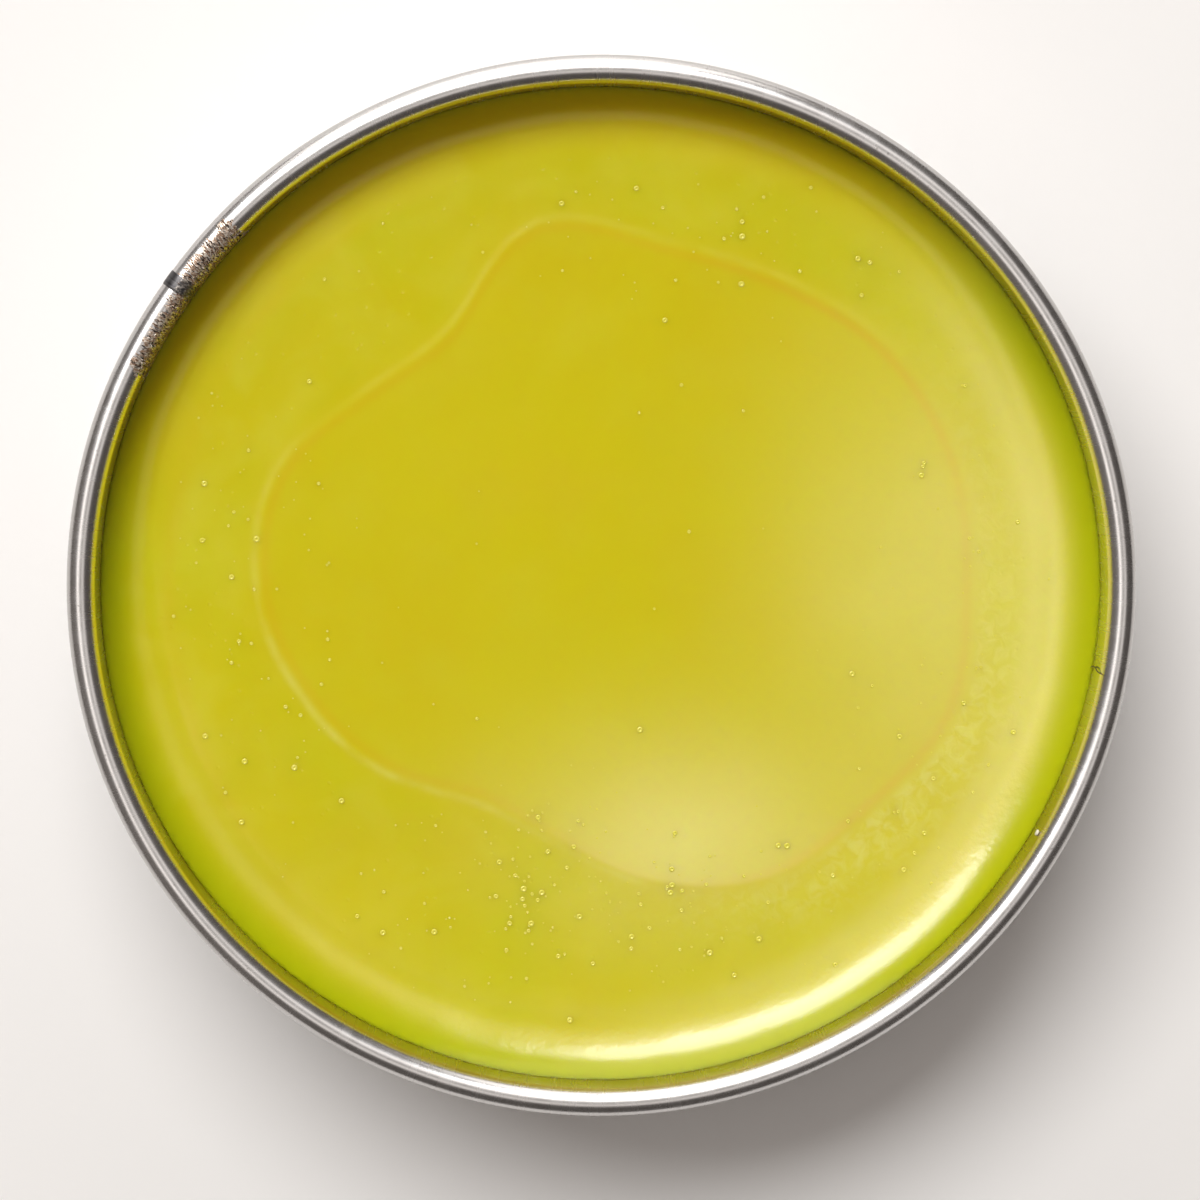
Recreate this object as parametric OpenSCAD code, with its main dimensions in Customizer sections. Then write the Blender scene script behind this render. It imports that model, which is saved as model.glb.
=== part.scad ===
/* [Tin] */
// Outer diameter of the tin over its curled rim
rim_d = 83; // [78:0.5:90]
// Height of the tin from its base seam to the top of the rim
tin_h = 24; // [20:0.5:32]
// Thickness of the tinplate
plate_t = 0.22; // [0.2:0.01:0.26]
// Outside diameter of the bead curled along the rim
curl_d = 2.2; // [1.9:0.1:2.6]
// Height of the double seam that holds the base
seam_h = 2.9; // [2.6:0.1:3.4]

/* [Side seam] */
// Direction of the welded seam, counter-clockwise from +X
weld_angle = 144; // [0:1:359]
// Width of the weld
weld_w = 1; // [0.8:0.1:1.6]
// Degrees of powder lining on the clockwise side of the weld
stripe_before = 8.5; // [4:0.5:14]
// Degrees of powder lining on the other side of the weld
stripe_after = 10; // [4:0.5:14]

/* [Polish] */
// Depth of the polish's edge below the top of the rim
edge_depth = 4; // [3:0.5:7]
// Height that the polish climbs up the wall
climb_h = 2; // [1:0.25:3]
// Width of the ring in which the polish climbs
climb_w = 5; // [4:0.5:7]
// Thickness of the second pour that tops up the middle
pour_t = 0.25; // [0.15:0.05:0.5]

/* [Lid] */
// Inside diameter of the lid's skirt
lid_id = 83.4; // [83.3:0.1:84]
// Height of the lid
lid_h = 8; // [7:0.5:10]
// Diameter of the flat raised face in the middle of the lid
lid_face_d = 71; // [60:1:74]
// Height of the step around that face
lid_step_h = 0.6; // [0.4:0.1:1]

/* [Hidden] */
$fn = 96;

// Body wall and rim curl, as radii from the tin's axis and heights above its base seam
curl_r = curl_d / 2;
wall_ri = rim_d / 2 - curl_d;
wall_ro = wall_ri + plate_t;
curl_x = wall_ri + curl_r;
curl_y = tin_h - curl_r;
curl_end = -125;

// Double seam, five layers of plate with a little air between them
seam_gap = 0.03;
fold_r = (3 * plate_t + 2 * seam_gap) / 2;
turn_r = (5 * plate_t + 4 * seam_gap) / 2;
seam_x = wall_ri + fold_r;
hook_x = wall_ro + seam_gap + fold_r;
compound_h = 0.35;
fold_y = turn_r + compound_h;
hook_top_y = seam_h - fold_r;

// Base panel, sunk above the seam with a step down to its middle
panel_y = seam_h + 0.1;
panel_corner_r = 0.6;
base_step_r = 30;
base_step_h = 0.5;
chuck_ro = wall_ri - seam_gap;

// Weld and powder lining
weld_span = weld_w / wall_ri * 180 / PI;
lap_t = 0.09;
stripe_t = 0.07;
stripe_end = 75;

// Polish
fill_r = wall_ri - 0.1;
fill_low_y = panel_y + 0.02;
edge_y = tin_h - edge_depth;
flat_y = edge_y - climb_h;
flat_r = fill_r - climb_w;
climb_r = (climb_w * climb_w + climb_h * climb_h) / (2 * climb_h);

// The pour's reach from the axis, every 20 degrees from +X, joined by a smooth closed curve
pour_reach = [29.5, 30, 29.5, 28, 27.5, 29, 23.5, 24, 27,
              27, 25, 22.5, 19.5, 20.5, 24, 27, 28, 30];
pour_steps = 4;

// Lid, upturned, with the tin standing in it
lid_ri = lid_id / 2;
lid_corner_r = 1;
lid_corner_x = lid_ri + plate_t - lid_corner_r;
hem_r = 0.4;
hem_end = -110;
seat_z = lid_step_h + plate_t + 0.05;

// Section of a strip of plate bent round an arc, from one direction to another
module bent_strip(r, t, from, to) {
    steps = ceil((to - from) / 45);
    difference() {
        intersection() {
            circle(r);
            polygon(concat([[0, 0]], [for (i = [0:steps])
                let (a = from + (to - from) * i / steps) 2 * r * [cos(a), sin(a)]]));
        }
        circle(r - t);
    }
}

// Section of a flat strip with a 45 degree step in it, from the axis out to r
module stepped_strip(r, step_r, step_y, step_h, t) {
    mitre = t * tan(22.5);
    polygon([
        [0, step_y], [step_r, step_y], [step_r + step_h, step_y + step_h], [r, step_y + step_h],
        [r, step_y + step_h + t], [step_r + step_h - mitre, step_y + step_h + t],
        [step_r - mitre, step_y + t], [0, step_y + t]
    ]);
}

module body_section() {
    translate([wall_ri, fold_y]) square([plate_t, curl_y - fold_y]);
    translate([curl_x, curl_y]) bent_strip(curl_r, plate_t, curl_end, 180);
    translate([seam_x, fold_y]) bent_strip(fold_r, plate_t, 180, 360);
    translate([seam_x + fold_r - plate_t, fold_y]) square([plate_t, hook_top_y - fold_y]);
}

// Extra thickness where the blank's two edges are lapped and welded
module lap_section() {
    translate([wall_ro, seam_h + 0.2]) square([lap_t, curl_y - curl_r - seam_h - 0.2]);
    translate([curl_x, curl_y]) bent_strip(curl_r + lap_t, lap_t, -90, stripe_end - 5);
}

module stripe_section() {
    translate([wall_ri - stripe_t, panel_y + 0.2]) square([stripe_t, curl_y - panel_y - 0.2]);
    translate([curl_x, curl_y]) bent_strip(curl_r + stripe_t, stripe_t, stripe_end, 180);
}

module base_section() {
    panel_x = chuck_ro - panel_corner_r;
    stepped_strip(panel_x, base_step_r, panel_y - plate_t - base_step_h, base_step_h, plate_t);
    translate([panel_x, panel_y - panel_corner_r]) bent_strip(panel_corner_r, plate_t, 0, 90);
    translate([chuck_ro - plate_t, turn_r]) square([plate_t, panel_y - panel_corner_r - turn_r]);
    translate([seam_x, turn_r]) bent_strip(turn_r, plate_t, 180, 360);
    translate([seam_x + turn_r - plate_t, turn_r]) square([plate_t, hook_top_y - turn_r]);
    translate([hook_x, hook_top_y]) bent_strip(fold_r, plate_t, 0, 180);
    translate([hook_x - fold_r, fold_y]) square([plate_t, hook_top_y - fold_y]);
}

// What is left between the base's turn and the body's fold below it
module compound_section() {
    difference() {
        translate([seam_x, turn_r]) circle(turn_r - plate_t - seam_gap);
        translate([seam_x, fold_y]) circle(fold_r + seam_gap);
    }
}

// A block over the base panel, with a flat middle and an edge that climbs the wall
module fill_section() {
    lip = 0.4;
    difference() {
        polygon([
            [0, fill_low_y - base_step_h], [base_step_r - 0.5, fill_low_y - base_step_h],
            [base_step_r + base_step_h - 0.5, fill_low_y], [fill_r, fill_low_y],
            [fill_r, edge_y], [0, edge_y]
        ]);
        translate([0, flat_y]) square([flat_r + lip, climb_h + 1]);
        translate([flat_r, flat_y + climb_r + 0.01]) circle(climb_r);
    }
}

// A smooth value between b and c, the middle two of four neighbours
function between(a, b, c, d, t) =
    b + t * (c - a) / 2 + t * t * (a - 2.5 * b + 2 * c - d / 2) + t * t * t * (1.5 * (b - c) + (d - a) / 2);

function pour_point(i) =
    let (n = len(pour_reach), k = floor(i / pour_steps), t = i / pour_steps - k,
         r = between(pour_reach[(k + n - 1) % n], pour_reach[k % n],
                     pour_reach[(k + 1) % n], pour_reach[(k + 2) % n], t),
         a = i * 360 / (n * pour_steps))
    r * [cos(a), sin(a)];

module lid_section() {
    skirt_y = lid_step_h + lid_corner_r;
    stepped_strip(lid_corner_x, lid_face_d / 2, 0, lid_step_h, plate_t);
    translate([lid_corner_x, skirt_y]) bent_strip(lid_corner_r, plate_t, 270, 360);
    translate([lid_ri, skirt_y]) square([plate_t, lid_h - hem_r - skirt_y]);
    translate([lid_ri + hem_r, lid_h - hem_r]) bent_strip(hem_r, plate_t, hem_end, 180);
}

// The rolled blank, open by the width of the weld
module body_shell() {
    color("silver") translate([0, 0, seat_z])
        rotate([0, 0, weld_angle + weld_span / 2])
            rotate_extrude(angle = 360 - weld_span) body_section();
}

module side_weld() {
    color("dimgray") translate([0, 0, seat_z])
        rotate([0, 0, weld_angle - weld_span / 2])
            rotate_extrude(angle = weld_span) {
                body_section();
                lap_section();
            }
}

module side_stripe() {
    color("rosybrown") translate([0, 0, seat_z])
        rotate([0, 0, weld_angle - stripe_before])
            rotate_extrude(angle = stripe_before + stripe_after) stripe_section();
}

module base_end() {
    color("lightgray") translate([0, 0, seat_z]) rotate_extrude() base_section();
}

module seam_compound() {
    color("beige") translate([0, 0, seat_z]) rotate_extrude() compound_section();
}

module polish_fill() {
    color("goldenrod") translate([0, 0, seat_z]) rotate_extrude() fill_section();
}

module polish_top_pour() {
    color("khaki") translate([0, 0, seat_z + flat_y]) linear_extrude(pour_t)
        polygon([for (i = [0:len(pour_reach) * pour_steps - 1]) pour_point(i)]);
}

module lid_shell() {
    color("gainsboro") rotate_extrude() lid_section();
}

body_shell();
side_weld();
side_stripe();
base_end();
seam_compound();
polish_fill();
polish_top_pour();
lid_shell();
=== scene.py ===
"""The looks of an open tin of yellow shoe polish that stands in its upturned lid.

Sizes are millimetres, turned into metres when a mesh is made.
"""

import math

import bmesh
import bpy
import numpy as np
from mathutils import Matrix, Vector


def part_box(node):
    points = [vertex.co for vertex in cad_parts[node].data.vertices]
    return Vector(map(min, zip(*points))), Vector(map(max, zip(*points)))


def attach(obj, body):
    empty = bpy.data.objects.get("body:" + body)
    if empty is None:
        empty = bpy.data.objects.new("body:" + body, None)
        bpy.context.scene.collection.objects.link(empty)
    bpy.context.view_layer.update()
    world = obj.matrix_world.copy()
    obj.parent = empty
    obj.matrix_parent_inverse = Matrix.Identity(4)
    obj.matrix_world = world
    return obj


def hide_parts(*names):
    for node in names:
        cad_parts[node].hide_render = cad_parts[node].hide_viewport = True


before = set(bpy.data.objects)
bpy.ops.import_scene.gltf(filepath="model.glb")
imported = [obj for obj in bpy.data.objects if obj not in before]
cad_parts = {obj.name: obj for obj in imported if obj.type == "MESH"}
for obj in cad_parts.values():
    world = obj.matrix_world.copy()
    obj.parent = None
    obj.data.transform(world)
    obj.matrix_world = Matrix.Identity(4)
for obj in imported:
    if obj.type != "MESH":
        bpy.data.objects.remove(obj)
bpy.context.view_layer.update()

MM = 0.001

# ---------------------------------------------------------------- sizes from the frame


def box_mm(node):
    """The low and high corners of a CAD node's box."""
    low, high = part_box(node)
    return np.array(low) / MM, np.array(high) / MM


shell_low, shell_high = box_mm("body_shell")
base_low, base_high = box_mm("base_end")
fill_low, fill_high = box_mm("polish_fill")
pour_low = box_mm("polish_top_pour")[0]
lid_high = box_mm("lid_shell")[1]

PLATE = 0.22  # thickness of the tinplate
CURL_R = 1.1  # outer radius of the rim's curl
SEAT_Z = base_low[2]
RIM_Z = shell_high[2]
RIM_R = max(shell_high[0], shell_high[1], -shell_low[0], -shell_low[1])
WALL_RI = RIM_R - 2 * CURL_R
WALL_RO = WALL_RI + PLATE
CURL_X = WALL_RI + CURL_R
CURL_Z = RIM_Z - CURL_R

# The double seam: folds of the wall and base, one inside the other
SEAM_GAP = 0.03
SEAM_TOP = 2.9 + SEAT_Z
FOLD_R = (3 * PLATE + 2 * SEAM_GAP) / 2
TURN_R = (5 * PLATE + 4 * SEAM_GAP) / 2
SEAM_X = WALL_RI + FOLD_R
HOOK_X = WALL_RO + SEAM_GAP + FOLD_R
TURN_Z = SEAT_Z + TURN_R
FOLD_Z = TURN_Z + 0.35
HOOK_Z = SEAM_TOP - FOLD_R
PANEL_Z = base_high[2]
CHUCK_RO = WALL_RI - SEAM_GAP

# The polish: its flat middle, and the height it climbs to at the wall
FLAT_Z = pour_low[2]
EDGE_Z = fill_high[2]

LID_TOP = lid_high[2]
LID_HEM_R = 0.4
LID_RI = max(lid_high[0], lid_high[1]) - 2 * LID_HEM_R
LID_CORNER_R = 1.0
LID_STEP_R = 35.5
LID_STEP_H = 0.6

# The welded side seam, and the stripe's reach in degrees on both sides of it
WELD_ANGLE = math.radians(144)
WELD_W = 1.2
WELD_LIFT = 0.035
STRIPE_BEFORE = 8.5
STRIPE_AFTER = 10.3

RING_STEPS = 720  # points round the tin in a turned mesh

# ---------------------------------------------------------------- mesh helpers


def arc(cx, cy, r, start, end, steps=12):
    """Points along an arc, in degrees from the section's +r direction."""
    a = np.radians(np.linspace(start, end, steps + 1))
    return [(cx + r * math.cos(t), cy + r * math.sin(t)) for t in a]


def rounded(points, radius, steps=4):
    """The same path with its inner corners turned into arcs."""
    out = [points[0]]
    for before, corner, after in zip(points, points[1:], points[2:]):
        c = np.array(corner)
        u, v = np.array(before) - c, np.array(after) - c
        u, v = u / np.linalg.norm(u), v / np.linalg.norm(v)
        half = math.acos(max(-1, min(1, u @ v))) / 2
        centre = c + (u + v) / np.linalg.norm(u + v) * radius / math.sin(half)
        reach = radius / math.tan(half)
        a, b = c + u * reach - centre, c + v * reach - centre
        for k in range(steps + 1):
            spoke = a * (1 - k / steps) + b * k / steps
            out.append(tuple(centre + spoke / np.linalg.norm(spoke) * radius))
    out.append(points[-1])
    return out


def dense(path, step):
    """The same path with no stretch longer than step."""
    out = [path[0]]
    for a, b in zip(path, path[1:]):
        n = max(1, math.ceil(math.dist(a, b) / step))
        out += [tuple(np.array(a) + (np.array(b) - np.array(a)) * k / n) for k in range(1, n + 1)]
    return out


def strip(path):
    """The closed section of a plate whose middle runs along path."""
    p = np.array(path)
    along = np.gradient(p, axis=0)
    along /= np.linalg.norm(along, axis=1)[:, None]
    side = np.stack([-along[:, 1], along[:, 0]], axis=1) * PLATE / 2
    return np.concatenate([p + side, (p - side)[::-1]])


def add_mesh(name, verts, faces, sharp_deg=40):
    mesh = bpy.data.meshes.new(name)
    mesh.from_pydata((np.asarray(verts) * MM).tolist(), [], faces)
    mesh.validate()
    turned = bmesh.new()
    turned.from_mesh(mesh)
    bmesh.ops.recalc_face_normals(turned, faces=turned.faces)
    turned.to_mesh(mesh)
    turned.free()
    mesh.shade_smooth()
    mesh.set_sharp_from_angle(angle=math.radians(sharp_deg))
    piece = bpy.data.objects.new(name, mesh)
    bpy.context.collection.objects.link(piece)
    return piece


def grid_faces(rows, columns, wrap_rows=False, wrap_columns=False, start=0):
    """Quads over a grid of points, stored row after row."""
    faces = []
    for i in range(rows if wrap_rows else rows - 1):
        for j in range(columns if wrap_columns else columns - 1):
            a, b = i * columns + j, i * columns + (j + 1) % columns
            c, d = (i + 1) % rows * columns + (j + 1) % columns, (i + 1) % rows * columns + j
            faces.append((start + a, start + b, start + c, start + d))
    return faces


def turn_from(side, theta):
    """The angle from side to theta, between -pi and pi."""
    return (theta - side + math.pi) % (2 * math.pi) - math.pi


def out_of_round(x, y, z):
    """How the rolled wall strays from a true circle, most at the free rim."""
    theta = np.arctan2(y, x)
    r = np.hypot(x, y)
    free = np.clip((z - SEAM_TOP) / (RIM_Z - SEAM_TOP), 0, 1) ** 1.5
    oval = 0.12 * np.cos(2 * theta)
    wave = 0.03 * np.sin(3 * theta + 0.7) + 0.02 * np.sin(5 * theta + 2.1)
    flat = -0.14 * np.exp(-((turn_from(WELD_ANGLE, theta) / 0.2) ** 2))
    shift = (oval + wave + flat) * free * np.clip(r / WALL_RI, 0, 1)
    grown = 1 + shift / np.maximum(r, 1)
    return x * grown, y * grown


def turned_points(section):
    """X, Y and Z of a section's points, one row for each step round the tin's axis."""
    theta = np.linspace(0, 2 * math.pi, RING_STEPS, endpoint=False)[:, None]
    r, z = np.tile(section[:, 0], (RING_STEPS, 1)), np.tile(section[:, 1], (RING_STEPS, 1))
    return r * np.cos(theta), r * np.sin(theta), z


def lathe(name, section, bend=None):
    """Turns a closed section round the tin's axis."""
    section = np.asarray(section)
    x, y, z = turned_points(section)
    if bend:
        x, y = bend(x, y, z)
    verts = np.stack([x, y, z], axis=-1).reshape(-1, 3)
    return add_mesh(name, verts, grid_faces(RING_STEPS, len(section), True, True))


def close_middle(faces, steps, m):
    """Fans that close both ends of a turned grid, on two points stored after it: top, then bottom."""
    for i in range(steps):
        after = (i + 1) % steps
        faces.append((i * m, after * m, steps * m))
        faces.append((after * m + m - 1, i * m + m - 1, steps * m + 1))


def disc_lathe(name, path):
    """Turns a plate whose middle runs from the axis outwards, as for a lid or a base."""
    section = strip(path)
    top, bottom = section[0], section[-1]
    ring = section[1:-1]
    verts = np.stack(turned_points(ring), axis=-1).reshape(-1, 3)
    verts = np.concatenate([verts, [[0, 0, top[1]], [0, 0, bottom[1]]]])
    faces = grid_faces(RING_STEPS, len(ring), True, False)
    close_middle(faces, RING_STEPS, len(ring))
    return add_mesh(name, verts, faces)


def distances(p):
    """How far along a path each of its points is."""
    return np.concatenate([[0], np.cumsum(np.linalg.norm(np.diff(p, axis=0), axis=1))])


def walk(path, at):
    """Points and left-hand directions along a path, at the given distances from its start."""
    p = np.array(path)
    far = distances(p)
    along = np.gradient(p, axis=0)
    along /= np.linalg.norm(along, axis=1)[:, None]
    points = np.stack([np.interp(at, far, p[:, k]) for k in (0, 1)], axis=-1)
    side = np.stack([np.interp(at, far, -along[:, 1]), np.interp(at, far, along[:, 0])], axis=-1)
    return points, side


def wall_patch(name, path, angles, at, top, bottom):
    """A closed skin over part of the wall.

    Each array has a row for each column of points round the tin: their angles, how far along the
    path they are, and how far the skin's two faces stand from the path there.
    """
    columns, rows = at.shape
    points, side = walk(path, at)
    layers = []
    for lift in (top, bottom):
        section = points + side * lift[..., None]
        x = section[..., 0] * np.cos(angles)
        y = section[..., 0] * np.sin(angles)
        x, y = out_of_round(x, y, section[..., 1])
        layers.append(np.stack([x, y, section[..., 1]], axis=-1).reshape(-1, 3))
    count = columns * rows
    faces = grid_faces(columns, rows) + [f[::-1] for f in grid_faces(columns, rows, start=count)]
    border = [i * rows for i in range(columns)] + [(columns - 1) * rows + j for j in range(1, rows)]
    border += [i * rows + rows - 1 for i in range(columns - 2, -1, -1)] + list(range(rows - 2, 0, -1))
    for a, b in zip(border, border[1:] + border[:1]):
        faces.append((a, b, count + b, count + a))
    return add_mesh(name, np.concatenate(layers), faces)


# ---------------------------------------------------------------- pieces


def wall_path():
    """The middle of the wall's plate, from its hook in the seam to the end of its curl."""
    path = [(SEAM_X + FOLD_R - PLATE / 2, HOOK_Z)]
    path += arc(SEAM_X, FOLD_Z, FOLD_R - PLATE / 2, 0, -180)
    path += dense([path[-1], (WALL_RI + PLATE / 2, CURL_Z)], 1.5)[1:-1]
    path += arc(CURL_X, CURL_Z, CURL_R - PLATE / 2, 180, -125, 60)
    return path


def path_part(path, low_z=None, curl_deg=None):
    """How far along the wall's path a height of the wall, or a direction of the curl, is."""
    p = np.array(path)
    far = distances(p)
    if low_z is not None:
        straight = np.abs(p[:, 0] - WALL_RI - PLATE / 2) < 0.01
        return np.interp(low_z, p[straight][:, 1], far[straight])
    a = math.radians(curl_deg)
    target = np.array([CURL_X, CURL_Z]) + (CURL_R - PLATE / 2) * np.array([math.cos(a), math.sin(a)])
    return far[np.argmin(np.linalg.norm(p - target, axis=1))]


def make_wall():
    """The wall from its hook in the double seam up to the curled rim."""
    piece = lathe("tin_wall", strip(wall_path()), bend=out_of_round)
    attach(piece, "tin")
    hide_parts("body_shell")
    return piece


def make_weld():
    """The lapped and welded edges, a little thicker than the plate on both faces."""
    path = wall_path()
    columns, rows = 15, 150
    across = np.linspace(-1, 1, columns)
    angles = np.repeat((WELD_ANGLE + across * WELD_W / 2 / WALL_RI)[:, None], rows, axis=1)
    start, end = path_part(path, low_z=SEAM_TOP + 0.3), path_part(path, curl_deg=-110)
    at = np.tile(np.linspace(start, end, rows), (columns, 1))
    crown = (1 - np.abs(across) ** 6)[:, None]
    nugget_h, nugget_pitch = 0.006, 0.55
    nuggets = nugget_h * np.sin(at * 2 * math.pi / nugget_pitch + 2.5 * np.abs(across)[:, None])
    top = PLATE / 2 + (WELD_LIFT + nuggets) * crown + 0.004
    piece = wall_patch("weld_seam", path, angles, at, top, -top)
    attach(piece, "tin")
    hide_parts("side_weld")
    return piece


def make_stripe():
    """The fused powder that lines the inside of the wall on both sides of the weld."""
    rng = np.random.default_rng(11)
    path = wall_path()
    low, high = path_part(path, low_z=EDGE_Z - 1.5), path_part(path, curl_deg=180)
    columns, rows = 210, 110
    turn = np.radians(np.linspace(-STRIPE_BEFORE, STRIPE_AFTER, columns))
    # It ends over the top of the curl, further out on one side of the weld, and both ends are ragged
    wide_end, narrow_end = path_part(path, curl_deg=68), path_part(path, curl_deg=92)
    end = np.where(turn < 0, wide_end, narrow_end) + rng.normal(0, 0.13, columns)
    end += 0.12 * np.sin(np.arange(columns) * 0.23) - 0.25 * rng.random(columns) ** 4
    start = low + rng.normal(0, 0.08, columns)
    share = np.linspace(0, 1, rows)
    at = start[:, None] + (end - start)[:, None] * share
    # Fused grains, with loose needles of powder where the wall turns into the curl
    grain = rng.random((columns, rows))
    grain = (grain + np.roll(grain, 1, axis=1)) / 2
    feather = np.minimum(1, np.minimum(share, 1 - share) * 14)
    top = PLATE / 2 + 0.008 + (0.012 + 0.045 * grain**2) * feather
    longest_needle = 0.14
    needles = (rng.random((columns, rows)) > 0.9) * (np.abs(at - high) < 1.0)
    top += longest_needle * needles * rng.random((columns, rows))
    # Its sides are ragged too
    from_end = np.minimum(np.arange(columns), np.arange(columns)[::-1])[:, None]
    ragged = np.radians(0.45) * rng.normal(0, 1, (1, rows)) * np.exp(-((from_end / 7) ** 2))
    angles = WELD_ANGLE + turn[:, None] + ragged * np.sign(turn)[:, None]
    piece = wall_patch("powder_stripe", path, angles, at, top, np.full_like(top, 0.02))
    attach(piece, "tin")
    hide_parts("side_stripe")
    return piece


def make_base():
    """The base's sunken panel with one raised step, its chuck wall and its half of the double seam."""
    corner, step_r, step_h = 0.6, 30, 0.5
    panel_x = CHUCK_RO - corner
    high_z = PANEL_Z - PLATE / 2
    low_z = high_z - step_h
    path = rounded([(0, low_z), (step_r, low_z), (step_r + step_h, high_z), (panel_x, high_z)], 0.4)
    path += arc(panel_x, PANEL_Z - corner, corner - PLATE / 2, 90, 0, 6)
    path += arc(SEAM_X, TURN_Z, TURN_R - PLATE / 2, -180, 0)
    path += arc(HOOK_X, HOOK_Z, FOLD_R - PLATE / 2, 0, 180)
    path += [(HOOK_X - FOLD_R + PLATE / 2, FOLD_Z)]
    piece = disc_lathe("base_plate", dense(path, 3))
    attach(piece, "tin")
    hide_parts("base_end")
    return piece


def make_compound():
    """The sealing compound that fills the seam between the base's turn and the wall's fold."""
    low_r, cut_r = TURN_R - PLATE - SEAM_GAP, FOLD_R + SEAM_GAP
    section = arc(SEAM_X, TURN_Z, low_r, 160, 380) + arc(SEAM_X, FOLD_Z, cut_r, 320, 220)
    piece = lathe("sealing_ring", section)
    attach(piece, "tin")
    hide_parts("seam_compound")
    return piece


def make_lid():
    """The slip lid, upturned: a flat face with one raised step, a rounded corner and a hemmed edge."""
    wall_x = LID_RI + PLATE / 2
    low, ring = PLATE / 2, LID_STEP_H + PLATE / 2
    bend_x = LID_RI + PLATE - LID_CORNER_R
    path = rounded([(0, low), (LID_STEP_R, low), (LID_STEP_R + LID_STEP_H, ring), (bend_x, ring)], 0.35)
    path += arc(bend_x, LID_STEP_H + LID_CORNER_R, LID_CORNER_R - PLATE / 2, -90, 0, 8)
    path += dense([path[-1], (wall_x, LID_TOP - LID_HEM_R)], 1.5)[1:-1]
    path += arc(LID_RI + LID_HEM_R, LID_TOP - LID_HEM_R, LID_HEM_R - PLATE / 2, 180, -110, 16)
    piece = disc_lathe("slip_lid", dense(path, 3))
    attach(piece, "lid")
    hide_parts("lid_shell")
    return piece


# ---------------------------------------------------------------- polish surface

FILL_R = WALL_RI - 0.02

# How wide and high the polish climbs at the wall: on WIDE_SIDE, and on the steep side opposite
CLIMB_W, CLIMB_H = 5.1, EDGE_Z - FLAT_Z
STEEP_W, STEEP_H = 3.2, 1.4
WIDE_SIDE = math.radians(-75)

SKIN_SIDE = math.radians(-26)
STEP_H = 0.09  # how far the second pour stands above the first


def step_up(value, start, end):
    """0 below start, 1 above end, smooth between."""
    t = np.clip((value - start) / (end - start), 0, 1)
    return t * t * (3 - 2 * t)


def pour_outline():
    """The second pour's reach round the axis, read off its CAD solid."""
    points = np.array([v.co for v in bpy.data.objects["polish_top_pour"].data.vertices]) / MM
    theta = np.arctan2(points[:, 1], points[:, 0])
    order = np.argsort(theta)
    return theta[order], np.hypot(points[:, 0], points[:, 1])[order]


POUR_THETA, POUR_R = pour_outline()


def past_pour(x, y):
    """How far outside the second pour's edge a point is."""
    reach = np.interp(np.arctan2(y, x), POUR_THETA, POUR_R, period=2 * math.pi)
    return np.hypot(x, y) - reach


def smooth_noise(x, y, scale, seed):
    """Soft noise of about -1 to 1 whose bumps are about scale millimetres apart."""
    rng = np.random.default_rng(seed)
    total = np.zeros_like(x)
    for _ in range(10):
        a, phase = rng.uniform(0, 2 * math.pi, 2)
        k = 2 * math.pi / (scale * rng.uniform(0.7, 1.6))
        total += np.sin(k * (x * math.cos(a) + y * math.sin(a)) + phase)
    return total / 3.2


def skin_zone(x, y):
    """Where the first pour's skin crinkled, outside the second pour on its +X side."""
    off = past_pour(x, y)
    side = np.exp(-((turn_from(SKIN_SIDE, np.arctan2(y, x)) / 0.75) ** 2))
    return side * step_up(off, 0.1, 0.8) * (1 - step_up(off, 1.5, 6.5))


def polish_height(x, y):
    """The set polish: a climb at the wall, the second pour's step and lip, ripples and crinkled skin."""
    r, theta = np.hypot(x, y), np.arctan2(y, x)
    steep = step_up(-np.cos(theta - WIDE_SIDE), -0.1, 0.7)
    wide = CLIMB_W + (STEEP_W - CLIMB_W) * steep
    tall = CLIMB_H + (STEEP_H - CLIMB_H) * steep
    radius = (wide**2 + tall**2) / (2 * tall)
    climb = np.clip(r - (FILL_R - wide), 0, wide)
    z = FLAT_Z + 0.1 + radius - np.sqrt(radius**2 - climb**2) - 0.1 * climb / wide
    calm = np.clip((FILL_R - r) / 5, 0, 1)
    off = past_pour(x, y)
    ripple = 0.012 + 0.016 * step_up(off, 0, 3)
    z += calm * (0.05 * smooth_noise(x, y, 24, 3) + ripple * smooth_noise(x, y, 7, 4))
    lip = 0.6 + 0.4 * smooth_noise(x, y, 9, 5)
    z += calm * 0.024 * lip * np.exp(-((off / 0.45) ** 2))
    z -= calm * 0.02 * lip * np.exp(-(((off + 1.3) / 0.8) ** 2))
    z += STEP_H / (1 + np.exp(off / 0.5))
    rough = smooth_noise(x, y, 2.2, 6) * smooth_noise(x, y, 5, 7)
    z += 0.015 * skin_zone(x, y) * rough * calm
    return z


def blob(x, y, middle, wide, tall):
    """1 at its middle, fading out over wide and tall millimetres."""
    return np.exp(-(((x - middle[0]) / wide) ** 2) - ((y - middle[1]) / tall) ** 2)


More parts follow.
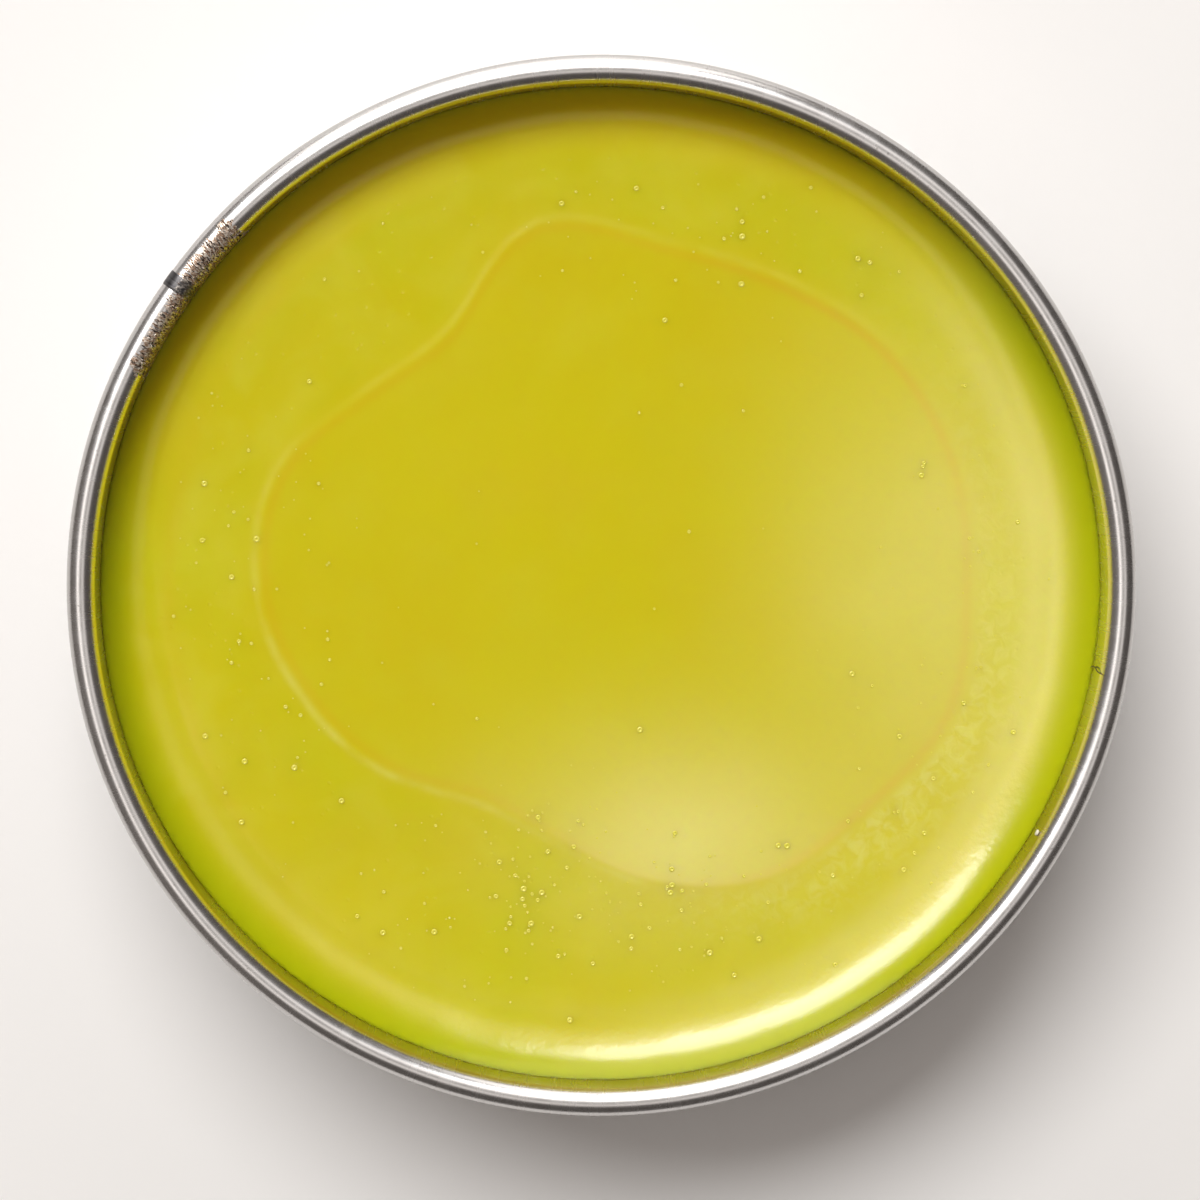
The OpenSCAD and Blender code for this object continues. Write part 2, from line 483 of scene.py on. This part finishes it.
def zones(x, y):
    """Parts of the polish that differ in colour or gloss, each from 0 to 1, with painted light among
    them: a green tint on the lit side and brown painted shade near the wall, and a pale painted sheen.
    """
    r, theta = np.hypot(x, y), np.arctan2(y, x)
    off = past_pour(x, y)
    from_wide = np.cos(theta - WIDE_SIDE)
    right = np.cos(theta + 0.2)
    lip_side = 0.2 + 0.8 * step_up(np.cos(theta + 1.9), -0.1, 0.7)
    near_wall = step_up(r, 36.2, 38.8)
    # Painted sheen: pale patches that stand in for light mirrored by the wax, in a ring on the lit side,
    # low in the middle and on the right
    edge_sheen_paint = np.exp(-(((r - 35) / 1.6) ** 2)) * step_up(np.cos(theta + 0.35), 0.1, 0.9)
    low_sheen_paint = blob(x, y, (6, -21), 13, 9) * (0.4 + 0.6 * step_up(-off, -0.2, 0.5))
    side_sheen_paint = blob(x, y, (26, 1), 11, 17)
    ridge = 0.9 * np.exp(-(((r - 34.2) / 0.7) ** 2)) * step_up(-right, 0.45, 0.8)
    return {
        # Painted light: a green tint near the wall, left off on the shaded side, for light through the
        # thin wax and off the wall
        "thin_edge_painted_light": near_wall * step_up(from_wide, -0.75, -0.2),
        # Painted shade: brown near the wall on the side the wall shades from the key light
        "painted_shade_edge": step_up(r, 33, 39.2) * step_up(-from_wide, 0.3, 0.97),
        "glossy_edge": np.exp(-(((r - 36.2) / 2.0) ** 2)) * step_up(from_wide, -0.1, 0.5),
        "skin": skin_zone(x, y),
        "pour_edge": np.exp(-(((off + 0.5) / 0.42) ** 2)) * (0.5 + 0.5 * step_up(right, -0.2, 0.6)),
        "pour_lip": np.exp(-(((off - 0.3) / 0.35) ** 2)) * lip_side,
        "first_pour": step_up(off, -0.6, 2.5),
        "amber": blob(x, y, (-15, -19), 7, 4) + blob(x, y, (-5, 9), 9, 5) + ridge,
        "bubbly": step_up(off, 0.5, 3) * (1 - step_up(r, 33, 36)),
        "painted_sheen": low_sheen_paint + 0.75 * side_sheen_paint + 0.5 * edge_sheen_paint,
    }


def make_polish():
    """Both pours as one closed skin, from the set surface down to the base."""
    first_r, fine_r = 0.3, 17
    rings = np.concatenate([np.linspace(first_r, fine_r, 56)[:-1], np.linspace(fine_r, FILL_R, 150)])
    steps = 2 * RING_STEPS
    theta = np.linspace(0, 2 * math.pi, steps, endpoint=False)
    r, t = np.meshgrid(rings, theta)
    x, y = r * np.cos(t), r * np.sin(t)
    z = polish_height(x, y)
    floor_z = fill_low[2] + 0.5
    r_low = np.tile([FILL_R, first_r], (steps, 1))
    x = np.concatenate([x, r_low * np.cos(theta)[:, None]], axis=1)
    y = np.concatenate([y, r_low * np.sin(theta)[:, None]], axis=1)
    z = np.concatenate([z, np.full((steps, 2), floor_z)], axis=1)
    x, y = out_of_round(x, y, z)
    m = x.shape[1]
    verts = np.stack([x, y, z], axis=-1).reshape(-1, 3)
    faces = grid_faces(steps, m, True, False)
    centre_z = polish_height(np.zeros(1), np.zeros(1))[0]
    verts = np.concatenate([verts, [[0, 0, centre_z], [0, 0, floor_z]]])
    close_middle(faces, steps, m)
    piece = add_mesh("polish", verts, faces, sharp_deg=60)
    for name, amount in zones(verts[:, 0], verts[:, 1]).items():
        field = piece.data.attributes.new(name, "FLOAT", "POINT")
        field.data.foreach_set("value", amount.astype(np.float32))
    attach(piece, "tin")
    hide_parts("polish_fill", "polish_top_pour")
    return piece


# Burst air bubbles: middle of each cluster, its spread both ways, and how many
BUBBLE_CLUSTERS = [
    (-2, -25.5, 9, 4, 130),
    (-8, -22, 5, 3, 45),
    (10, -26, 6, 3, 24),
    (-27, -2, 4, 10, 75),
    (-29, 9, 3, 6, 22),
    (10, 29, 11, 3.5, 70),
    (29, 5, 3, 9, 34),
    (26, -14, 5, 6, 36),
    (0, 0, 17, 17, 36),
]


def make_bubbles():
    """Small rings with a sunken middle, left by air bubbles that burst as the polish set."""
    rng = np.random.default_rng(23)
    # Radius and height from a bubble's skirt to its middle, as shares of its size
    profile = [(1.25, -0.12), (1.0, 0.1), (0.78, 0.3), (0.55, 0.24), (0.3, 0.05), (0.12, 0.0)]
    segments = 14
    turn = np.linspace(0, 2 * math.pi, segments, endpoint=False)
    ring_x, ring_y = np.cos(turn), np.sin(turn)
    verts, faces = [], []
    for cx, cy, wide, tall, count in BUBBLE_CLUSTERS:
        spots = rng.normal((cx, cy), (wide, tall), (count, 2))
        sizes = 0.06 + 0.18 * rng.random(count) ** 3
        for (x, y), size in zip(spots, sizes):
            if math.hypot(x, y) > FILL_R - 3.5:
                continue
            z = polish_height(np.array([x]), np.array([y]))[0]
            start = len(verts)
            for radius, lift in profile:
                reach = size * radius
                verts += [(x + reach * c, y + reach * s, z + size * lift) for c, s in zip(ring_x, ring_y)]
            faces += grid_faces(len(profile), segments, False, True, start)
            verts += [(x, y, z), (x, y, z - 0.2 * size)]
            for k in range(segments):
                after = (k + 1) % segments
                last = start + (len(profile) - 1) * segments
                faces.append((last + k, last + after, len(verts) - 2))
                faces.append((start + after, start + k, len(verts) - 1))
    piece = add_mesh("air_bubbles", verts, faces, sharp_deg=80)
    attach(piece, "tin")
    return piece


def tube(name, points, radius, segments=8):
    """A closed round thread along a few points, thinner at its ends."""
    p = np.array(points, float)
    along = np.gradient(p, axis=0)
    along /= np.linalg.norm(along, axis=1)[:, None]
    side = np.cross(along, [0.3, 0.2, 1.0])
    side /= np.linalg.norm(side, axis=1)[:, None]
    up = np.cross(along, side)
    turn = np.linspace(0, 2 * math.pi, segments, endpoint=False)
    taper = radius * np.clip(np.sin(np.linspace(0.05, math.pi - 0.05, len(p))) * 2, 0.2, 1)[:, None, None]
    ring = side[:, None] * np.cos(turn)[:, None] + up[:, None] * np.sin(turn)[:, None]
    verts = (p[:, None] + ring * taper).reshape(-1, 3)
    faces = grid_faces(len(p), segments, False, True)
    faces.append(tuple(range(segments)))
    faces.append(tuple(range(len(verts) - 1, len(verts) - 1 - segments, -1)))
    return add_mesh(name, verts, faces)


FIBRE_SIDE = math.radians(-9.4)
CRUMB_SIDE = math.radians(-29.3)


def wall_points(radius, angle, height):
    """Points of a thread from their distance to the axis, angle and height."""
    return np.stack([radius * np.cos(angle), radius * np.sin(angle), height], axis=1)


def make_specks():
    """A fibre and a dried crumb of polish that cling to the inside of the wall."""
    t = np.linspace(0, 1, 16)
    angle = FIBRE_SIDE + 0.006 * np.sin(4 * t)
    radius = WALL_RI - 0.06 + 0.35 * step_up(t, 0.75, 1)
    height = EDGE_Z - 0.3 + 4.0 * t
    fibre = tube("fibre", wall_points(radius, angle, height), 0.05)
    angle = CRUMB_SIDE + 0.004 * np.cos(9 * t)
    radius = WALL_RI - 0.1 + 0.05 * np.sin(7 * t)
    height = RIM_Z - 1.9 + 0.55 * t
    crumb = tube("dried_crumb", wall_points(radius, angle, height), 0.12)
    for piece in (fibre, crumb):
        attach(piece, "tin")
    return fibre, crumb


# ---------------------------------------------------------------- materials


class Nodes:
    """A material whose nodes are added in a few words. Lengths in the nodes are metres."""

    def __init__(self, name):
        self.material = bpy.data.materials.new(name)
        self.material.use_nodes = True
        self.tree = self.material.node_tree
        self.shader = self.tree.nodes["Principled BSDF"]
        self.place = self.add("ShaderNodeTexCoord").outputs["Object"]

    def add(self, kind, links=None, **values):
        node = self.tree.nodes.new(kind)
        for key, value in values.items():
            setattr(node, key, value)
        for socket, source in (links or {}).items():
            self.feed(node, socket, source)
        return node

    def feed(self, node, socket, source):
        if hasattr(source, "is_linked"):
            self.tree.links.new(source, node.inputs[socket])
        else:
            node.inputs[socket].default_value = source

    def noise(self, size, detail=3.0, vector=None, warp=0.0):
        """Noise whose features are about size metres across."""
        links = {"Vector": vector or self.place, "Scale": 1 / size, "Detail": detail, "Distortion": warp}
        return self.add("ShaderNodeTexNoise", links).outputs["Fac"]

    def maths(self, operation, a, b=0.0):
        return self.add("ShaderNodeMath", {0: a, 1: b}, operation=operation).outputs[0]

    def scaled(self, value, low, high, out_low=0.0, out_high=1.0):
        """The range low to high of a value, stretched onto another range and held at its ends."""
        links = {"Value": value, "From Min": low, "From Max": high, "To Min": out_low, "To Max": out_high}
        return self.add("ShaderNodeMapRange", links).outputs[0]

    def blend(self, factor, a, b):
        """Colour a turning into colour b."""
        node = self.add("ShaderNodeMix", data_type="RGBA")
        self.feed(node, 0, factor)
        for socket, colour in ((6, a), (7, b)):
            self.feed(node, socket, colour if hasattr(colour, "is_linked") else (*colour, 1))
        return node.outputs[2]

    def field(self, name):
        """An amount stored at each point of the mesh."""
        return self.add("ShaderNodeAttribute", attribute_name=name).outputs["Fac"]

    def bump(self, height, depth, under=None):
        """A relief of depth metres, on top of another one."""
        links = {"Height": height, "Distance": depth, "Strength": 1.0}
        if under:
            links["Normal"] = under
        return self.add("ShaderNodeBump", links).outputs["Normal"]

    def finish(self, colour, roughness, normal, **uniform):
        """The material, with its colour, roughness and relief fed in and its other values set."""
        for socket, source in (("Base Color", colour), ("Roughness", roughness), ("Normal", normal)):
            self.feed(self.shader, socket, source)
        for socket, value in uniform.items():
            self.shader.inputs[socket.replace("_", " ")].default_value = value
        return self.material


def axes_of(n):
    """X, Y and Z of a place on the object, and its distance from the tin's axis."""
    x, y, z = n.add("ShaderNodeSeparateXYZ", {0: n.place}).outputs
    square = n.maths("ADD", n.maths("MULTIPLY", x, x), n.maths("MULTIPLY", y, y))
    return x, y, z, n.maths("SQRT", square)


def grain_place(n, stretch=0.06):
    """Coordinates that stretch grain across the rim and wall, and straight over flat panels."""
    x, y, z, rho = axes_of(n)
    round_x = n.maths("MULTIPLY", n.maths("DIVIDE", x, rho), RIM_R * MM)
    round_y = n.maths("MULTIPLY", n.maths("DIVIDE", y, rho), RIM_R * MM)
    slow = n.maths("MULTIPLY", n.maths("ADD", z, rho), stretch)
    rolled = n.add("ShaderNodeCombineXYZ", {0: round_x, 1: round_y, 2: slow}).outputs[0]
    slow_x = n.maths("MULTIPLY", x, 0.03)
    flat = n.add("ShaderNodeCombineXYZ", {0: slow_x, 1: y, 2: z}).outputs[0]
    on_wall = n.maths("GREATER_THAN", rho, (WALL_RI - 0.7) * MM)
    mixed = n.add("ShaderNodeMix", data_type="VECTOR")
    n.feed(mixed, 0, on_wall)
    n.feed(mixed, 4, flat)
    n.feed(mixed, 5, rolled)
    return mixed.outputs[1]


def tinplate(name, wear, film=0.0):
    """Bright rolled tinplate: fine streaks, clouded tin, hairline scratches and dull specks.

    Wear is how strongly specks and scratches show, and film how much polish has smeared the inside; with
    film, the outer side of the curl is also darkened as painted shade.
    """
    n = Nodes(name)
    grain = grain_place(n)
    fine = n.noise(0.00022, 2, grain)
    broad = n.noise(0.0012, 3, grain)
    cloud = n.noise(0.006, 4)
    # Scratches run where stretched noise crosses one level
    turned = {"Vector": n.place, "Scale": (0.06, 1.0, 1.0), "Rotation": (0.0, 0.0, 0.6)}
    thin = n.noise(0.0006, 1, n.add("ShaderNodeMapping", turned).outputs[0])
    line = n.scaled(n.maths("ABSOLUTE", n.maths("SUBTRACT", thin, 0.62)), 0.0, 0.012, 1, 0)
    scratch = n.maths("MULTIPLY", line, n.scaled(cloud, 0.45, 0.6))
    speck = n.scaled(n.noise(0.0004, 1), 0.71, 0.77)
    colour = n.blend(n.scaled(cloud, 0.3, 0.7), (0.90, 0.89, 0.885), (0.82, 0.805, 0.795))
    colour = n.blend(n.scaled(fine, 0.35, 0.75, 0, 0.06), colour, (0.62, 0.60, 0.59))
    colour = n.blend(n.maths("MULTIPLY", speck, wear), colour, (0.30, 0.27, 0.25))
    if film:
        rho = axes_of(n)[3]
        within = n.scaled(rho, (WALL_RI + 0.14) * MM, (WALL_RI + 0.04) * MM)
        # Painted shade: the outer side of the curl darkened so that it mirrors less of the pale table
        outer_curl_shade = n.maths("MULTIPLY", n.scaled(rho, (CURL_X + 0.62) * MM, (CURL_X + 0.85) * MM), 0.6)
        colour = n.blend(outer_curl_shade, colour, (0.40, 0.38, 0.365))
        smear = n.maths("MULTIPLY", within, n.scaled(cloud, 0.3, 0.7, film, 0.6 * film))
        colour = n.blend(smear, colour, (0.36, 0.27, 0.10))
    fine_rough, broad_rough = n.scaled(fine, 0.3, 0.7, 0.235, 0.25), n.scaled(broad, 0.3, 0.7, 0.0, 0.05)
    rough = n.maths("ADD", fine_rough, broad_rough)
    rough = n.maths("ADD", rough, n.maths("MULTIPLY", scratch, 0.1 * wear))
    relief = n.bump(fine, 0.0000001)
    relief = n.bump(broad, 0.0000006, relief)
    relief = n.bump(scratch, -0.0000015 * wear, relief)
    return n.finish(colour, rough, relief, Metallic=1.0)


def weld_oxide():
    """Blue-black burnt tinplate, smooth on the outer half of the curl and grainy within."""
    n = Nodes("weld_oxide")
    grain = grain_place(n)
    streak = n.noise(0.00016, 2, grain)
    spots = n.noise(0.00018, 3)
    inner = n.scaled(axes_of(n)[3], (CURL_X + 0.1) * MM, (CURL_X - 0.1) * MM)
    grit = n.maths("MULTIPLY", inner, n.scaled(spots, 0.45, 0.65))
    colour = n.blend(n.scaled(streak, 0.35, 0.65), (0.055, 0.052, 0.055), (0.11, 0.105, 0.105))
    colour = n.blend(grit, colour, (0.42, 0.38, 0.34))
    rough = n.maths("ADD", n.scaled(streak, 0.3, 0.7, 0.28, 0.4), n.maths("MULTIPLY", grit, 0.2))
    relief = n.bump(streak, 0.000006)
    relief = n.bump(n.maths("MULTIPLY", spots, inner), 0.00005, relief)
    return n.finish(colour, rough, relief, Metallic=0.75)


def powder_lacquer():
    """Sintered powder lining: brown grains, pale needles painted brighter as glints, dark painted shade
    in the gaps between them, burnt along the weld.
    """
    n = Nodes("powder_lacquer")
    x, y = axes_of(n)[:2]
    needle_place = grain_place(n, 0.25)
    needles = n.noise(0.00011, 2, needle_place, 1.3)
    others = n.noise(0.00014, 2, n.place, 1.0)
    gaps = n.noise(0.00019, 3, needle_place, 0.8)
    colour = n.blend(n.scaled(others, 0.35, 0.65), (0.20, 0.11, 0.07), (0.52, 0.35, 0.24))
    # Painted shade: near black in the gaps between the grains
    colour = n.blend(n.scaled(gaps, 0.49, 0.42), colour, (0.03, 0.02, 0.016))
    # Painted glints: cream-white needles, partly their own pale colour
    colour = n.blend(n.scaled(needles, 0.51, 0.57), colour, (0.96, 0.85, 0.73))
    beside_x = n.maths("MULTIPLY", x, math.sin(WELD_ANGLE))
    beside_y = n.maths("MULTIPLY", y, math.cos(WELD_ANGLE))
    from_weld = n.maths("SUBTRACT", beside_x, beside_y)
    burnt = n.scaled(n.maths("ABSOLUTE", from_weld), 0.54 * MM, 0.64 * MM, 0.7, 0)
    colour = n.blend(burnt, colour, (0.05, 0.047, 0.047))
    rough = n.scaled(needles, 0.4, 0.6, 0.5, 0.22)
    relief = n.bump(needles, 0.00005)
    relief = n.bump(gaps, 0.00005, relief)
    return n.finish(colour, rough, relief, Metallic=0.6)


def sealing_rubber():
    """Dull grey-green rubber compound."""
    n = Nodes("sealing_rubber")
    cloud = n.noise(0.0015, 4)
    fine = n.noise(0.0002, 2)
    colour = n.blend(n.scaled(cloud, 0.3, 0.7), (0.33, 0.34, 0.32), (0.46, 0.46, 0.42))
    return n.finish(colour, n.scaled(fine, 0.3, 0.7, 0.55, 0.8), n.bump(fine, 0.00002))


def wax():
    """Yellow turpentine wax: translucent, glossy, with amber tints and fine skin marks, and painted
    light: a green tint near the wall on the lit side, partly thin wax, brown painted shade near the wall
    on the shaded side, and a pale painted sheen.
    """
    n = Nodes("polish_wax")
    thin, edge_shade_paint, skin = n.field("thin_edge_painted_light"), n.field("painted_shade_edge"), n.field("skin")
    edge, bubbly = n.field("pour_edge"), n.field("bubbly")
    cloud = n.noise(0.016, 3)
    mottle = n.noise(0.0045, 3)
    fine = n.noise(0.0009, 3)
    pits = n.add("ShaderNodeTexVoronoi", {"Vector": n.place, "Scale": 900.0}).outputs["Distance"]
    inner = n.blend(n.scaled(cloud, 0.4, 0.65), (0.65, 0.575, 0.003), (0.65, 0.55, 0.002))
    outer = n.blend(n.scaled(cloud, 0.4, 0.65), (0.62, 0.58, 0.003), (0.645, 0.565, 0.003))
    colour = n.blend(n.field("first_pour"), inner, outer)
    colour = n.blend(n.scaled(mottle, 0.45, 0.75, 0, 0.3), colour, (0.64, 0.59, 0.012))
    blotch = n.scaled(n.noise(0.0075, 3, None, 0.8), 0.45, 0.72, 0, 0.3)
    colour = n.blend(n.maths("MULTIPLY", n.field("first_pour"), blotch), colour, (0.71, 0.665, 0.05))
    colour = n.blend(n.maths("MULTIPLY", edge, 0.6), colour, (0.68, 0.46, 0.006))
    amber = n.maths("MULTIPLY", n.field("amber"), n.scaled(mottle, 0.3, 0.7, 0.1, 0.35))
    colour = n.blend(amber, colour, (0.67, 0.5, 0.002))
    lip = n.maths("MULTIPLY", n.field("pour_lip"), n.scaled(mottle, 0.35, 0.65, 0.0, 0.45))
    colour = n.blend(lip, colour, (0.76, 0.71, 0.15))
    streaks = n.noise(0.0011, 4, None, 0.7)
    pale = n.maths("MULTIPLY", skin, n.scaled(streaks, 0.42, 0.66))
    colour = n.blend(n.maths("MULTIPLY", pale, 0.55), colour, (0.78, 0.75, 0.2))
    # Painted sheen: a pale colour where the wax would mirror the lights
    painted_sheen = n.maths("MULTIPLY", n.field("painted_sheen"), n.scaled(cloud, 0.2, 0.8, 0.6, 1.0))
    colour = n.blend(painted_sheen, colour, (0.82, 0.76, 0.235))
    # Painted light: green near the wall on the lit side, partly thin wax
    colour = n.blend(thin, colour, (0.49, 0.515, 0.002))
    # Painted shade: brown near the wall on its shaded side
    colour = n.blend(edge_shade_paint, colour, (0.74, 0.55, 0.003))
    rough = n.maths("ADD", n.scaled(mottle, 0.3, 0.7, 0.15, 0.2), n.maths("MULTIPLY", skin, 0.08))
    relief = n.bump(n.noise(0.006, 2), 0.00006)
    relief = n.bump(n.maths("MULTIPLY", streaks, skin), 0.00007, relief)
    dimple = n.maths("MULTIPLY", n.scaled(pits, 0.0, 0.16), bubbly)
    relief = n.bump(dimple, 0.00002, relief)
    relief = n.bump(fine, 0.000008, relief)
    gloss = n.field("glossy_edge")
    peel = n.maths("MULTIPLY", n.noise(0.0004, 2), gloss)
    relief = n.bump(peel, 0.000014, relief)
    n.feed(n.shader, "Coat Weight", gloss)
    n.feed(n.shader, "Coat Normal", relief)
    uniform = {
        "IOR": 1.44,
        "Subsurface_Weight": 1.0,
        "Subsurface_Radius": (1.0, 0.8, 0.15),
        "Subsurface_Scale": 0.0022,
        "Coat_Roughness": 0.27,
    }
    return n.finish(colour, rough, relief, **uniform)


def bubble_wax():
    """The same wax, set as a thin pale skin over the burst bubbles."""
    n = Nodes("bubble_wax")
    mottle = n.noise(0.001, 2)
    colour = n.blend(mottle, (0.72, 0.65, 0.03), (0.79, 0.73, 0.14))
    rough = n.scaled(mottle, 0.3, 0.7, 0.08, 0.16)
    return n.finish(colour, rough, n.bump(mottle, 0.00001), IOR=1.5)


def lint(name, dark, light):
    """Something small that stuck to the tin."""
    n = Nodes(name)
    fleck = n.noise(0.0002, 2)
    colour = n.blend(fleck, dark, light)
    return n.finish(colour, n.scaled(fleck, 0.3, 0.7, 0.45, 0.7), n.bump(fleck, 0.00002))


def dress(piece, material):
    """Gives a piece its one material."""
    piece.data.materials.clear()
    piece.data.materials.append(material)


# ---------------------------------------------------------------- studio

# Where the camera stands over the rim, the point at rim height it looks at, and the width it sees there
CAMERA_H = 258
CAMERA_X, CAMERA_Y = -8.5, 19.6
VIEW_X, VIEW_Y = -0.3, -0.6
FRAME_W = 93.0
SENSOR_W = 36


def make_camera():
    """The photo's view: from above, a little to one side."""
    data = bpy.data.cameras.new("camera")
    camera = bpy.data.objects.new("camera", data)
    bpy.context.collection.objects.link(camera)
    eye = Vector((CAMERA_X, CAMERA_Y, RIM_Z + CAMERA_H)) * MM
    aim = Vector((VIEW_X, VIEW_Y, RIM_Z)) * MM
    back = (eye - aim).normalized()
    right = Vector((0, 1, 0)).cross(back).normalized()
    camera.location = eye
    camera.rotation_mode = "QUATERNION"
    camera.rotation_quaternion = Matrix((right, back.cross(right), back)).transposed().to_quaternion()
    data.sensor_width = SENSOR_W
    data.lens = SENSOR_W * (aim - eye).length / (FRAME_W * MM)
    data.clip_start = 0.01
    bpy.context.scene.camera = camera


# What the surroundings show, and the azimuth in degrees on which they are brightest
ROOM = (0.11, 0.096, 0.087)
CEILING = (1.12, 1.04, 0.985)
CAMERA_HOLE = (0.29, 0.27, 0.25)
BRIGHT_SIDE = 150


def toward(azimuth, zenith):
    """A direction from angles in degrees, with the zenith angle measured from straight up."""
    a, z = math.radians(azimuth), math.radians(zenith)
    return Vector((math.cos(a) * math.sin(z), math.sin(a) * math.sin(z), math.cos(z)))


def softbox(name, azimuth, zenith, distance, width, height, radiance, tint=(1, 1, 1)):
    """A soft light that faces the tin. Distances are metres, and radiance is what its face shows."""
    data = bpy.data.lights.new(name, "AREA")
    data.shape = "ELLIPSE"
    data.size, data.size_y = width, height
    data.energy = radiance * math.pi * math.pi * width * height / 4
    data.color = tint
    light = bpy.data.objects.new(name, data)
    bpy.context.collection.objects.link(light)
    light.location = toward(azimuth, zenith) * distance
    light.rotation_mode = "QUATERNION"
    light.rotation_quaternion = light.location.to_track_quat("Z", "Y")


def make_ceiling():
    """A dim warm room under a pale ceiling, brighter on one side, with a dark hole for the camera."""
    world = bpy.data.worlds.new("studio")
    bpy.context.scene.world = world
    world.use_nodes = True
    tree = world.node_tree
    place = tree.nodes.new("ShaderNodeTexCoord").outputs["Generated"]
    axes = tree.nodes.new("ShaderNodeSeparateXYZ")
    tree.links.new(place, axes.inputs[0])
    ramp = tree.nodes.new("ShaderNodeValToRGB")
    tree.links.new(axes.outputs["Z"], ramp.inputs["Fac"])
    stops = ramp.color_ramp.elements
    stops[0].position, stops[1].position = 0, 1
    stops[0].color, stops[1].color = (*ROOM, 1), (*CAMERA_HOLE, 1)
    by_zenith = [(33, ROOM), (24, CEILING), (14, CEILING), (9, CAMERA_HOLE)]
    for zenith, colour in by_zenith:
        stop = stops.new(math.cos(math.radians(zenith)))
        stop.color = (*colour, 1)
    sideways = tree.nodes.new("ShaderNodeVectorMath")
    sideways.operation = "DOT_PRODUCT"
    tree.links.new(place, sideways.inputs[0])
    sideways.inputs[1].default_value = toward(BRIGHT_SIDE, 90)
    shade = tree.nodes.new("ShaderNodeMapRange")
    shade.interpolation_type = "SMOOTHSTEP"
    tree.links.new(sideways.outputs["Value"], shade.inputs["Value"])
    for socket, value in zip(("From Min", "From Max", "To Min", "To Max"), (-0.15, 0.2, 0.66, 1.2)):
        shade.inputs[socket].default_value = value
    background = tree.nodes["Background"]
    tree.links.new(ramp.outputs["Color"], background.inputs["Color"])
    tree.links.new(shade.outputs["Result"], background.inputs["Strength"])


def make_studio():
    """A pale table, a soft key light, a dim panel behind it and the ceiling."""
    bpy.ops.mesh.primitive_plane_add(size=6)
    floor = bpy.context.object
    floor.name = "floor"
    n = Nodes("white_table")
    tooth = n.noise(0.0008, 3)
    colour = n.blend(n.noise(0.05, 3), (0.875, 0.855, 0.835), (0.885, 0.87, 0.85))
    dress(floor, n.finish(colour, n.scaled(tooth, 0.3, 0.7, 0.55, 0.65), n.bump(tooth, 0.00001)))
    key = {"azimuth": 114, "zenith": 33, "distance": 1.1, "width": 0.85, "height": 0.45}
    softbox("key_softbox", **key, radiance=10.6)
    panel = {"azimuth": 98, "zenith": 68, "distance": 1.4, "width": 1.5, "height": 1.1}
    softbox("back_panel", **panel, radiance=1.4, tint=(1, 0.96, 0.92))
    make_ceiling()
    bpy.context.scene.view_settings.view_transform = "Standard"


# ---------------------------------------------------------------- assembly

tin_metal = tinplate("tin_tinplate", wear=0.35, film=0.85)
dress(make_wall(), tin_metal)
dress(make_base(), tin_metal)
dress(make_lid(), tinplate("lid_tinplate", wear=0.8))
dress(make_compound(), sealing_rubber())
dress(make_weld(), weld_oxide())
dress(make_stripe(), powder_lacquer())
dress(make_polish(), wax())
dress(make_bubbles(), bubble_wax())
fibre_piece, crumb_piece = make_specks()
dress(fibre_piece, lint("fibre", (0.03, 0.02, 0.01), (0.10, 0.07, 0.03)))
dress(crumb_piece, lint("dried_crumb", (0.75, 0.70, 0.5), (0.85, 0.82, 0.7)))

make_studio()
make_camera()
